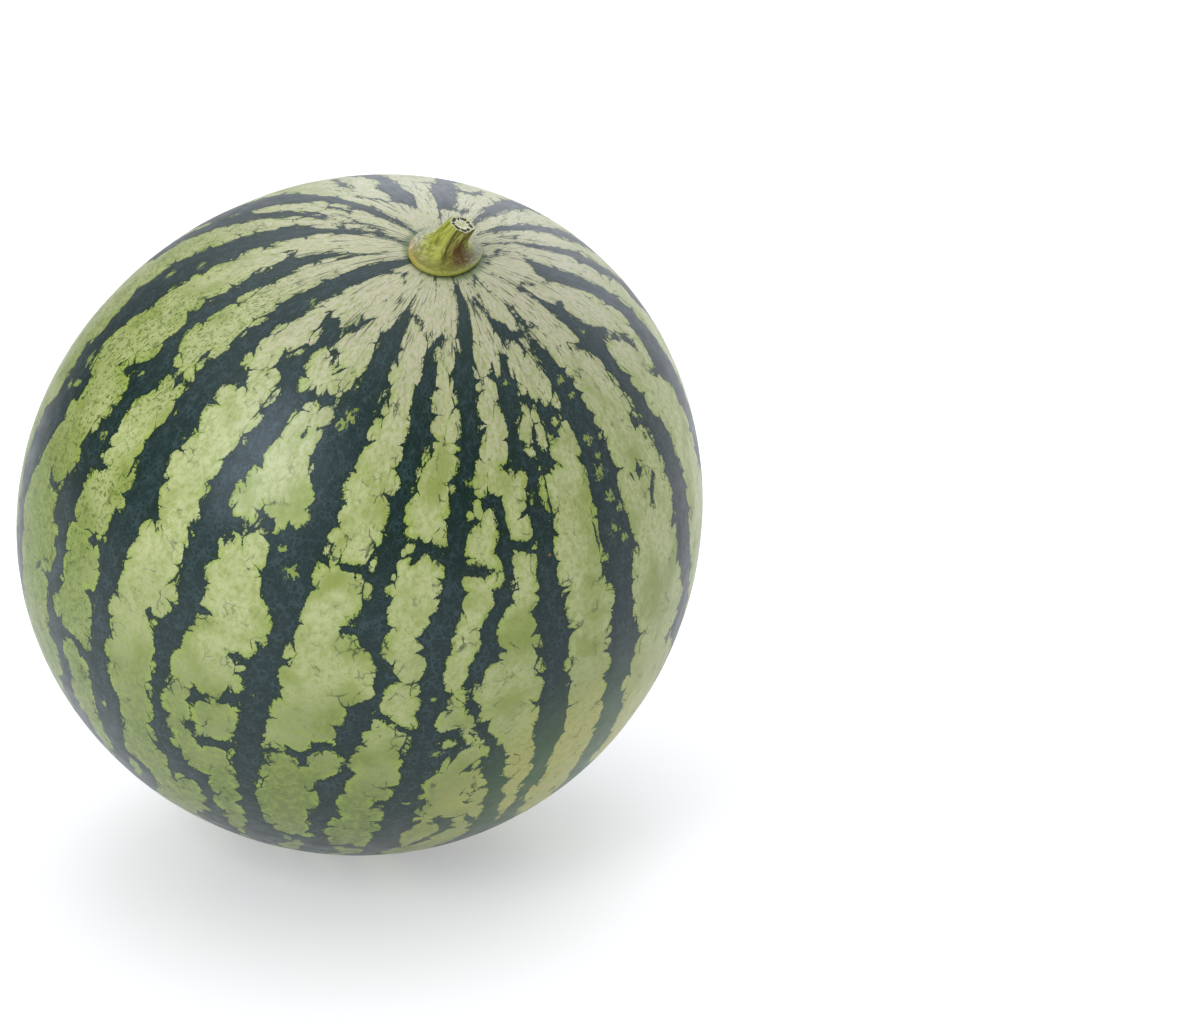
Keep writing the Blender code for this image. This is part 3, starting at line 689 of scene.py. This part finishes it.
class Graph:
    """A material's node tree, with short calls for the nodes that it is built from."""

    def __init__(self, name):
        self.material = bpy.data.materials.new(name)
        self.material.use_nodes = True
        self.nodes = self.material.node_tree.nodes
        self.links = self.material.node_tree.links
        self.shader = self.nodes["Principled BSDF"]

    def put(self, socket, value):
        """Feed a socket with another socket's value or with a constant."""
        if isinstance(value, bpy.types.NodeSocket):
            self.links.new(value, socket)
        elif isinstance(value, tuple) and len(value) == 3 and socket.type == "RGBA":
            socket.default_value = (*value, 1.0)
        else:
            socket.default_value = value

    def add(self, kind, **settings):
        """A new node with its properties set."""
        node = self.nodes.new(kind)
        for name, value in settings.items():
            setattr(node, name, value)
        return node

    def stored(self, name, output="Fac"):
        """A value stored on the mesh's points."""
        return self.add("ShaderNodeAttribute", attribute_name=name).outputs[output]

    def math(self, operation, first, second=0.0, clamp=False):
        """One arithmetic step."""
        node = self.add("ShaderNodeMath", operation=operation, use_clamp=clamp)
        self.put(node.inputs[0], first)
        self.put(node.inputs[1], second)
        return node.outputs[0]

    times = partialmethod(math, "MULTIPLY")
    plus = partialmethod(math, "ADD")
    less = partialmethod(math, "SUBTRACT")

    def vector(self, operation, *values):
        """One arithmetic step on vectors."""
        node = self.add("ShaderNodeVectorMath", operation=operation)
        for socket, value in zip(node.inputs, values):
            self.put(socket, value)
        return node.outputs[0]

    def parts(self, place):
        """The three numbers of a place."""
        node = self.add("ShaderNodeSeparateXYZ")
        self.put(node.inputs[0], place)
        return node.outputs

    def smooth(self, value, low, high, to_low=0.0, to_high=1.0):
        """A value eased from one range into another."""
        node = self.add("ShaderNodeMapRange", interpolation_type="SMOOTHSTEP")
        for name, number in (("Value", value), ("From Min", low), ("From Max", high),
                             ("To Min", to_low), ("To Max", to_high)):
            self.put(node.inputs[name], number)
        return node.outputs[0]

    def blend(self, share, first, second):
        """Two colours mixed."""
        node = self.add("ShaderNodeMix", data_type="RGBA")
        self.put(node.inputs[0], share)
        self.put(node.inputs[6], first)
        self.put(node.inputs[7], second)
        return node.outputs[2]

    def layers(self, colour, *coats):
        """A colour with coats over it in turn, each one (share, colour)."""
        for share, coat in coats:
            colour = self.blend(share, colour, coat)
        return colour

    def noise(self, place, size, detail=2.0, roughness=0.5, output="Fac"):
        """Smooth noise whose bumps have a size in the place's own units."""
        node = self.add("ShaderNodeTexNoise")
        self.put(node.inputs["Vector"], place)
        self.put(node.inputs["Scale"], 1.0 / size)
        self.put(node.inputs["Detail"], detail)
        self.put(node.inputs["Roughness"], roughness)
        return node.outputs[output]

    def border(self, place, size):
        """Distance to the border between rounded cells, in the place's own units."""
        node = self.add("ShaderNodeTexVoronoi", feature="DISTANCE_TO_EDGE")
        self.put(node.inputs["Vector"], place)
        self.put(node.inputs["Scale"], 1.0 / size)
        return self.times(node.outputs["Distance"], size)

    def scaled(self, place, factors):
        """A place stretched along its axes."""
        return self.vector("MULTIPLY", place, factors)

    def pushed(self, place, size, reach):
        """A place pushed about by noise, up to a reach."""
        wander = self.vector("SUBTRACT", self.noise(place, size, output="Color"), (0.5, 0.5, 0.5))
        return self.vector("MULTIPLY_ADD", wander, (2 * reach, 2 * reach, 2 * reach), place)

    def bump(self, height, distance, strength, normal=None):
        """A surface normal tipped by a height, whose full step is a distance in metres."""
        node = self.add("ShaderNodeBump")
        self.put(node.inputs["Height"], height)
        self.put(node.inputs["Distance"], distance)
        self.put(node.inputs["Strength"], strength)
        if normal is not None:
            self.put(node.inputs["Normal"], normal)
        return node.outputs[0]

    def finished(self, settings):
        """The material, with the surface's inputs fed."""
        for name, value in settings.items():
            self.put(self.shader.inputs[name], value)
        return self.material


# Colours of the skin, in linear light.
PALE_GREEN = (0.44, 0.475, 0.222)
MID_GREEN = (0.25, 0.305, 0.066)
# The next colour is partly the skin's own deeper green and partly painted shade, laid on the fruit's lower
# half towards the blossom end.
DEEP_GREEN_AND_SHADE = (0.125, 0.17, 0.035)
CREAM = (0.475, 0.44, 0.32)
FLECK_GREEN = (0.085, 0.135, 0.012)
FRESH_GREEN = (0.265, 0.36, 0.045)
LUSH_GREEN = (0.145, 0.2, 0.016)
GROUND_YELLOW = (0.42, 0.4, 0.12)
DARK_GREEN = (0.006, 0.019, 0.013)
# Lighter net and grain in the dark stripes, tinted bluish: the bluish tint is painted reflection of the
# bright surround.
NET_AND_BLUE_SHEEN = (0.027, 0.05, 0.049)
EDGE_DARK = (0.005, 0.019, 0.004)
MOSS_GREEN = (0.045, 0.105, 0.018)
SCAR_BROWN = (0.27, 0.13, 0.035)
BLOSSOM_BROWN = (0.21, 0.16, 0.08)

# Where the skin changes: ranges in degrees away from the stem.
# The next range is a darker ring round the stem's foot: painted shade where the foot sits on the skin, with a
# faint green fringe.
FOOT_SHADE_ENDS = (6.7, 7.6)
EDGES_LIVEN = (8.0, 36.0)
HALO_GROWS = (14.0, 42.0)
CROWN_STREAKS_FADE = (16.0, 30.0)
CREAM_FADES = (26.0, 62.0)
LUSH_GROWS = (48.0, 88.0)
# The next range darkens the light skin towards the blossom end: painted shade on the fruit's lower half,
# partly its own deeper green.
SHADE_DEEPENS = (74.0, 120.0)
BLOSSOM_STARTS = (175.4, 176.4)

# Sizes of the skin's markings, in mm.
LOBE_MM = 8.0
LOBE_DEPTH_MM = (1.5, 4.3)
LOBULE_MM = 3.6
LOBULE_DEPTH_MM = 0.95
FUR_MM = 0.55
FUR_DEPTH_MM = 2.3
SWELL_MM = 7.0
SWELL_DEPTH_MM = 1.6
EDGE_SETBACK_MM = 0.54  # the edge stands this far inside the outline from the listed points
EDGE_FEATHER_MM = (-0.25, 0.3)
MOTTLE_MM = 1.8
FLECK_MM = 1.0
BLOT_MM = 2.6
CRACK_MM = 4.6
NET_MM = 1.7
GRAIN_MM = 0.7


def scallop(g, border, radius, depth):
    """How far a lobe's edge stands back: most at the border between lobes, not at all at its middle."""
    off = g.less(1, g.math("DIVIDE", border, radius), clamp=True)
    arc = g.math("SQRT", g.less(1, g.times(off, off), clamp=True))
    return g.times(g.less(1, arc), depth)


def stripe_mask(g, place, stripe, polar):
    """(darkness, distance in mm out of the dark), with cusps between lobes and a feathered edge."""
    calm = g.smooth(polar, *EDGES_LIVEN, 0.35, 1)
    bold = g.times(calm, g.smooth(g.noise(place, 10), 0.32, 0.68, *LOBE_DEPTH_MM))
    lobes = scallop(g, g.border(g.pushed(place, LOBE_MM, 1.8), LOBE_MM), 2.7, bold)
    lobules = scallop(g, g.border(g.pushed(place, 3, 0.7), LOBULE_MM), 1.2, g.times(calm, LOBULE_DEPTH_MM))
    furry = g.times(g.less(g.noise(place, FUR_MM, 2, 0.6), 0.5), FUR_DEPTH_MM)
    swell = g.times(g.less(g.noise(place, SWELL_MM, 1), 0.5), g.times(calm, SWELL_DEPTH_MM))
    out = g.less(g.less(stripe, lobes), lobules)
    out = g.plus(g.plus(out, furry), g.plus(swell, EDGE_SETBACK_MM))
    return g.smooth(out, *EDGE_FEATHER_MM, 1, 0), out


def drifting(g, value, place, size, reach):
    """A value shifted by noise, so that the border drawn from it wanders."""
    return g.plus(value, g.times(g.noise(place, size), reach))


def broad_colours(g, place, out, polar, ground, lush):
    """The light skin's broad colours: cream at the crown, darker and deeper green below with painted shade on
    the lower half, yellow at the ground spot.
    """
    green = g.smooth(drifting(g, lush, place, 18, 0.7), 0.3, 0.95)
    halo = g.times(g.smooth(out, 0.1, 2.4, 0.8, 0), g.smooth(g.noise(place, 6), 0.4, 0.58))
    return g.layers(
        g.blend(g.smooth(g.noise(place, 12, 3), 0.3, 0.58), MID_GREEN, PALE_GREEN),
        # Darker towards the blossom end: painted shade on the lower half, partly the skin's own deeper green.
        (g.smooth(drifting(g, polar, place, 20, 30), *SHADE_DEEPENS, 0, 0.95), DEEP_GREEN_AND_SHADE),
        (g.smooth(drifting(g, polar, place, 20, 24), *CREAM_FADES, 0.92, 0), CREAM),
        (g.times(green, g.smooth(polar, *LUSH_GROWS, 0.25, 0.95)), LUSH_GREEN),
        (g.times(halo, g.smooth(polar, *HALO_GROWS, 0.25, 1)), FRESH_GREEN),
        (g.smooth(drifting(g, ground, place, 14, 0.5), 0.3, 0.95, 0, 0.8), GROUND_YELLOW),
        (g.smooth(g.noise(place, MOTTLE_MM, 4, 0.7), 0.42, 0.64, 0, 0.65), MID_GREEN),
    )


def dark_flecks(g, place, lush):
    """How dark the light skin's fine flecks and larger blots are, most where it grew greenest."""
    busy = g.smooth(g.plus(g.noise(place, 22), g.times(lush, 0.3)), 0.42, 0.62, 0.14, 1)
    flecks = g.smooth(g.noise(place, FLECK_MM, 2, 0.55), 0.54, 0.63)
    blots = g.smooth(g.noise(place, BLOT_MM, 2, 0.6), 0.58, 0.68)
    return g.times(g.times(g.math("MAXIMUM", flecks, g.times(blots, 0.6)), busy), 0.85)


def dark_cracks(g, place, out):
    """How dark the thin cracks in the light skin are: a few, mostly beside the stripes."""
    crack = g.smooth(g.border(g.pushed(place, 2.2, 1.3), CRACK_MM), 0.06, 0.34, 1, 0)
    rare = g.smooth(g.noise(place, 5, 2), 0.54, 0.66)
    return g.times(crack, g.times(rare, g.smooth(out, 0.5, 5, 0.9, 0.4)))


def crown_streaks(g, place, polar):
    """How dark the streaks that run down from the crown are."""
    streaks = g.smooth(g.noise(g.scaled(place, (1, 1, 0.2)), 2.8, 2, 0.6), 0.6, 0.67)
    return g.times(streaks, g.smooth(polar, *CROWN_STREAKS_FADE, 0.85, 0))


def light_skin(g, place, out, polar, ground, lush):
    """Colour of the light skin, with its flecks, cracks and streaks."""
    return g.layers(
        broad_colours(g, place, out, polar, ground, lush),
        (dark_flecks(g, place, lush), FLECK_GREEN),
        (dark_cracks(g, place, out), EDGE_DARK),
        (crown_streaks(g, place, polar), EDGE_DARK),
    )


def dark_skin(g, place, out, island, ground):
    """Colour of the dark stripes: dark green under a fine light net whose bluish tint is painted reflection,
    greener at the edges, with islands.
    """
    net = g.smooth(g.border(g.pushed(place, 1.4, 0.6), NET_MM), 0.03, 0.34, 1, 0)
    patch = g.smooth(g.noise(place, 3.2, 3), 0.36, 0.64)
    fleck = g.smooth(g.plus(island, g.times(g.noise(place, 1.5, 3, 0.65), 3.2)), 1.95, 2.30)
    return g.layers(
        DARK_GREEN,
        # The net and grain are the skin's own; their bluish tint is painted reflection.
        (g.times(net, patch), NET_AND_BLUE_SHEEN),
        (g.smooth(g.noise(place, GRAIN_MM, 3, 0.7), 0.48, 0.68, 0, 0.6), NET_AND_BLUE_SHEEN),
        (g.smooth(out, -1.7, -0.3, 0, 0.9), EDGE_DARK),
        (g.smooth(ground, 0.1, 0.8, 0, 0.75), MOSS_GREEN),
        (g.times(fleck, 0.85), g.blend(g.smooth(island, 0.1, 0.8), FRESH_GREEN, MID_GREEN)),
    )


# The skin's fine relief, drawn by bumps, in metres.
PORE_DEPTH = 0.00004
DENT_DEPTH = 0.00022
STRIPE_DEPTH = 0.00004

# How the skin shines: a thin natural wax with a bluish bloom.
RIND_SHINE = {
    "Specular IOR Level": 0.34,
    "Specular Tint": (0.72, 0.82, 1),
    "Sheen Weight": 0.08,
    "Sheen Roughness": 0.35,
    "Sheen Tint": (0.82, 0.84, 1),
    "Coat Weight": 0.1,
    "Coat Roughness": 0.3,
}
RIND_ROUGHNESS = (0.34, 0.46)


def rind_colour(g, place, polar, dark, out):
    """The skin's colour, from its stripes to its scars and two ends."""
    island, scar, ground, lush = (g.stored(name) for name in ("Island", "Scar", "Ground", "Lush"))
    return g.layers(
        light_skin(g, place, out, polar, ground, lush),
        (dark, dark_skin(g, place, out, island, ground)),
        # Painted shade: a darker moss-green ring round the stem's foot, with a faint green fringe of the
        # skin.
        (g.smooth(g.plus(polar, g.noise(place, 2)), *FOOT_SHADE_ENDS, 0.6, 0), MOSS_GREEN),
        (g.smooth(g.plus(scar, g.noise(place, 1, 3)), 0.62, 0.95, 0, 0.85), SCAR_BROWN),
        (g.smooth(g.less(polar, g.times(g.noise(place, 3), 2)), *BLOSSOM_STARTS), BLOSSOM_BROWN),
    )


def rind_material():
    """The waxed, striped skin."""
    g = Graph("rind")
    place = g.stored("Pattern", "Vector")
    polar = g.math("DIVIDE", g.parts(place)[2], MM_PER_DEGREE)
    dark, out = stripe_mask(g, place, g.stored("Stripe"), polar)
    normal = g.bump(g.noise(place, 0.9, 3, 0.6), PORE_DEPTH, 0.5)
    normal = g.bump(g.noise(place, 4.5, 2), DENT_DEPTH, 0.5, normal)
    return g.finished({
        "Base Color": rind_colour(g, place, polar, dark, out),
        "Roughness": g.smooth(g.noise(place, 5, 4, 0.6), 0.3, 0.7, *RIND_ROUGHNESS),
        "Normal": g.bump(dark, STRIPE_DEPTH, 0.5, normal),
        **RIND_SHINE,
    })


# Colours of the stem, in linear light.
STEM_GREEN = (0.155, 0.17, 0.006)
STEM_BRIGHT = (0.38, 0.4, 0.07)
STEM_OLIVE = (0.036, 0.03, 0.001)
STEM_RIM = (0.33, 0.34, 0.06)
FOOT_GREY = (0.2, 0.205, 0.125)
# White streaks and specks on the foot: painted highlights.
FOOT_PAINTED_HIGHLIGHT = (0.62, 0.6, 0.48)
FOOT_ORANGE = (0.42, 0.21, 0.03)
DRIED_BROWN = (0.1, 0.034, 0.003)
PITH = (0.64, 0.62, 0.5)
BUNDLE_GREEN = (0.01, 0.018, 0.001)

# Where the stem's markings are, as turns round its axis in degrees.
# The next two are a painted highlight along one ridge and painted shade in the groove beside it.
STEM_HIGHLIGHT_DEG = -112
STEM_GROOVE_SHADE_DEG = -93
STEM_BROWN_DEG = -38
STEM_FRONT_DEG = -100


def beside(g, turn, degrees, width):
    """1 along one turn round the stem, easing to 0 at a width from it, both in degrees."""
    gap = g.math("PINGPONG", g.less(turn, degrees), 180)
    return g.smooth(gap, 0, width, 1, 0)


# The stem's fine relief, drawn by bumps, in metres, and how it shines.
STRAND_DEPTH = 0.0003
STREAK_DEPTH = 0.00012
STEM_SHINE = {
    "Subsurface Weight": 0.12,
    "Subsurface Radius": (0.6, 1, 0.25),
    "Subsurface Scale": 0.0012,
    "Specular IOR Level": 0.28,
    "Coat Weight": 0.1,
    "Coat Roughness": 0.08,
}
STEM_ROUGHNESS = (0.2, 0.5)  # from the foot to the neck

# The floor is matt white, and glows a little as a light table does.
FLOOR_SHINE = {
    "Base Color": (0.64, 0.64, 0.65),
    "Roughness": 0.6,
    "Emission Color": (1, 1, 1),
    "Emission Strength": 0.38,
}


def neck_colour(g, turn, strands):
    """The neck: green ribs with an olive side, a painted highlight along one ridge and painted shade in the
    groove beside it.
    """
    olive = g.smooth(strands, 0.42, 0.56, 1, 0.35)
    return g.layers(
        STEM_GREEN,
        (g.smooth(strands, 0.34, 0.64), STEM_BRIGHT),
        (g.times(g.times(olive, beside(g, turn, STEM_BROWN_DEG, 75)), 0.95), STEM_OLIVE),
        # A painted highlight along one ridge, then painted shade in the groove beside it.
        (g.times(beside(g, turn, STEM_HIGHLIGHT_DEG, 16), 0.8), STEM_BRIGHT),
        (g.times(beside(g, turn, STEM_GROOVE_SHADE_DEG, 9), 0.85), STEM_OLIVE),
    )


def foot_colour(g, fibre, turn, share, streaks):
    """The foot: grey to green round the stem, with painted white highlights as streaks and specks, a bright
    rim and an orange side.
    """
    front = g.plus(beside(g, turn, STEM_FRONT_DEG, 110), g.times(streaks, 0.5))
    # Painted highlights: white streaks at one side of the foot, and white specks at another.
    painted_glints = g.times(beside(g, turn, STEM_FRONT_DEG - 80, 70), g.smooth(streaks, 0.5, 0.6))
    highlight_specks = g.smooth(g.noise(fibre, 0.75, 1), 0.64, 0.7)
    highlight_specks = g.times(beside(g, turn, STEM_BROWN_DEG, 70), highlight_specks)
    at_rim = g.smooth(g.plus(share, g.times(streaks, 0.03)), 0.125, 0.155, 1, 0)
    low = g.smooth(share, 0.12, 0.22, 0.35, 0)
    return g.layers(
        FOOT_GREY,
        (g.smooth(front, 0.35, 0.85, 0, 0.9), STEM_GREEN),
        (g.smooth(streaks, 0.5, 0.72, 0, 0.5), STEM_BRIGHT),
        (g.times(g.math("MAXIMUM", painted_glints, highlight_specks), 0.7), FOOT_PAINTED_HIGHLIGHT),
        (g.times(at_rim, 0.85), STEM_RIM),
        (g.times(beside(g, turn, STEM_FRONT_DEG - 60, 60), low), FOOT_ORANGE),
    )


def dried_share(g, fibre, turn, share):
    """How dried the stem's brown side is."""
    dried = g.times(beside(g, turn, STEM_BROWN_DEG - 10, 60), g.smooth(share, 0.13, 0.22))
    dried = g.times(dried, g.smooth(share, 0.45, 0.85, 1, 0.35))
    return g.times(dried, g.smooth(g.noise(fibre, 1.8, 3), 0.3, 0.5))


def cut_colour(g, fibre, bundle):
    """The cut face: pale pith inside a ring of dark vessels."""
    face = g.blend(g.smooth(g.noise(fibre, 0.4, 3), 0.42, 0.66), PITH, STEM_BRIGHT)
    return g.blend(g.smooth(bundle, 0.12, 0.4), face, BUNDLE_GREEN)


def stem_material():
    """The fresh stem: green ribs, an olive side with a dried patch, a glossy foot and a pale cut."""
    g = Graph("stem")
    fibre = g.stored("Fibre", "Vector")
    share, inward, bundle = (g.stored(name) for name in ("Share", "Inward", "Bundle"))
    right, ahead, _ = g.parts(fibre)
    turn = g.plus(g.math("DEGREES", g.math("ARCTAN2", ahead, right)), g.times(share, 16))
    strands = g.noise(g.scaled(fibre, (1, 1, 0.12)), 0.7, 3, 0.6)
    streaks = g.noise(g.scaled(fibre, (1, 1, 3)), 1.3, 3, 0.6)
    colour = g.layers(
        foot_colour(g, fibre, turn, share, streaks),
        (g.smooth(share, 0.14, 0.3), neck_colour(g, turn, strands)),
        (dried_share(g, fibre, turn, share), DRIED_BROWN),
        (g.smooth(g.noise(fibre, 0.45, 2), 0.64, 0.72, 0, 0.7), STEM_OLIVE),
        (g.smooth(inward, 0, 0.03, 0, 0.4), PITH),
        (g.smooth(inward, 0.06, 0.14), cut_colour(g, fibre, bundle)),
    )
    return g.finished({
        "Base Color": colour,
        "Roughness": g.smooth(share, 0.15, 0.45, *STEM_ROUGHNESS),
        "Normal": g.bump(strands, STRAND_DEPTH, 0.9, g.bump(streaks, STREAK_DEPTH, 0.6)),
        **STEM_SHINE,
    })


# ---------- camera, light and floor

CAMERA_RISE_DEG = 20.0
CAMERA_DISTANCE = 0.8385
CAMERA_LENS = 85.0
CAMERA_SENSOR = 36.0
CAMERA_CLIP = 0.01
AIM_RIGHT = 0.0691  # the camera looks past the fruit's right, which leaves the frame's right side empty
AIM_UP = -0.00186

# The surround: the way to its bright side, how its strength fades, and its colour.
BRIGHT_SIDE = (0.66, 0.56, 0.50)
BRIGHT_FADE = (("From Min", 0.05), ("From Max", 0.75), ("To Min", 0.08), ("To Max", 0.95))
SURROUND_COLOUR = (0.94, 0.95, 1.0, 1.0)

# Lights: the sky's strength, spread and tips, then (way to it, distance, width, height, watts, colour).
SKY_STRENGTH = 1.45
SKY_SPREAD_DEG = 75
SKY_TIPS_DEG = (-8, -14, 0)
SOFTBOXES = {
    "window": ((-0.58, -0.72, 0.55), 1.1, 0.50, 0.70, 7.8, (0.92, 0.95, 1.0)),
    "back": ((0.40, 0.80, 0.60), 1.4, 1.6, 1.0, 6.0, (0.88, 0.90, 1.0)),
}

FLOOR_HALF = 6.0
FLOOR_DROP = 0.0002  # how far the floor is below the fruit


def look_at(thing, aim):
    """Turn a camera or a lamp to a point."""
    thing.rotation_euler = (aim - thing.location).to_track_quat("-Z", "Y").to_euler()


def make_camera():
    """The camera looks down a little on the fruit, from in front."""
    data = bpy.data.cameras.new("camera")
    data.lens = CAMERA_LENS
    data.sensor_width = CAMERA_SENSOR
    data.clip_start = CAMERA_CLIP
    camera = add_object("camera", data)
    rise = radians(CAMERA_RISE_DEG)
    centre = Vector(CENTRE)
    camera.location = centre + CAMERA_DISTANCE * Vector((0, -cos(rise), sin(rise)))
    look_at(camera, centre + Vector((AIM_RIGHT, 0, AIM_UP)))
    bpy.context.scene.camera = camera


def make_softbox(name, direction, distance, width, height, watts, colour):
    """A large soft light that faces the fruit's centre."""
    data = bpy.data.lights.new(name, "AREA")
    data.shape = "RECTANGLE"
    data.size = width
    data.size_y = height
    data.energy = watts
    data.color = colour
    lamp = add_object(name, data)
    lamp.location = Vector(CENTRE) + Vector(direction).normalized() * distance
    look_at(lamp, Vector(CENTRE))
    lamp.visible_camera = False


def make_world():
    """A surround that is white behind, above and at the right, and dim at the left and in front."""
    world = bpy.data.worlds.new("surround")
    world.use_nodes = True
    nodes, links = world.node_tree.nodes, world.node_tree.links
    place = nodes.new("ShaderNodeTexCoord")
    along = nodes.new("ShaderNodeVectorMath")
    along.operation = "DOT_PRODUCT"
    along.inputs[1].default_value = BRIGHT_SIDE
    fade = nodes.new("ShaderNodeMapRange")
    fade.interpolation_type = "SMOOTHSTEP"
    for name, number in BRIGHT_FADE:
        fade.inputs[name].default_value = number
    links.new(place.outputs["Generated"], along.inputs[0])
    links.new(along.outputs["Value"], fade.inputs["Value"])
    links.new(fade.outputs[0], nodes["Background"].inputs["Strength"])
    nodes["Background"].inputs["Color"].default_value = SURROUND_COLOUR
    bpy.context.scene.world = world


def make_light():
    """A very soft light from above, a window-like one at the left and a cool one behind."""
    make_world()
    data = bpy.data.lights.new("sky", "SUN")
    data.energy = SKY_STRENGTH
    data.angle = radians(SKY_SPREAD_DEG)
    add_object("sky", data).rotation_euler = [radians(tip) for tip in SKY_TIPS_DEG]
    for name, settings in SOFTBOXES.items():
        make_softbox(name, *settings)


def make_floor():
    """A wide plain floor just under the fruit, matt white and glowing a little."""
    level = FLOOR_HEIGHT - FLOOR_DROP
    sides = ((-1, -1), (1, -1), (1, 1), (-1, 1))
    corners = np.array([(x * FLOOR_HALF, y * FLOOR_HALF, level) for x, y in sides])
    mesh = filled_mesh("floor", corners, [(0, 1, 2, 3)])
    mesh.materials.append(Graph("floor_white").finished(FLOOR_SHINE))
    add_object("floor", mesh)


make_skin()
make_stem()
make_floor()
make_light()
make_camera()
bpy.context.scene.view_settings.view_transform = "Standard"
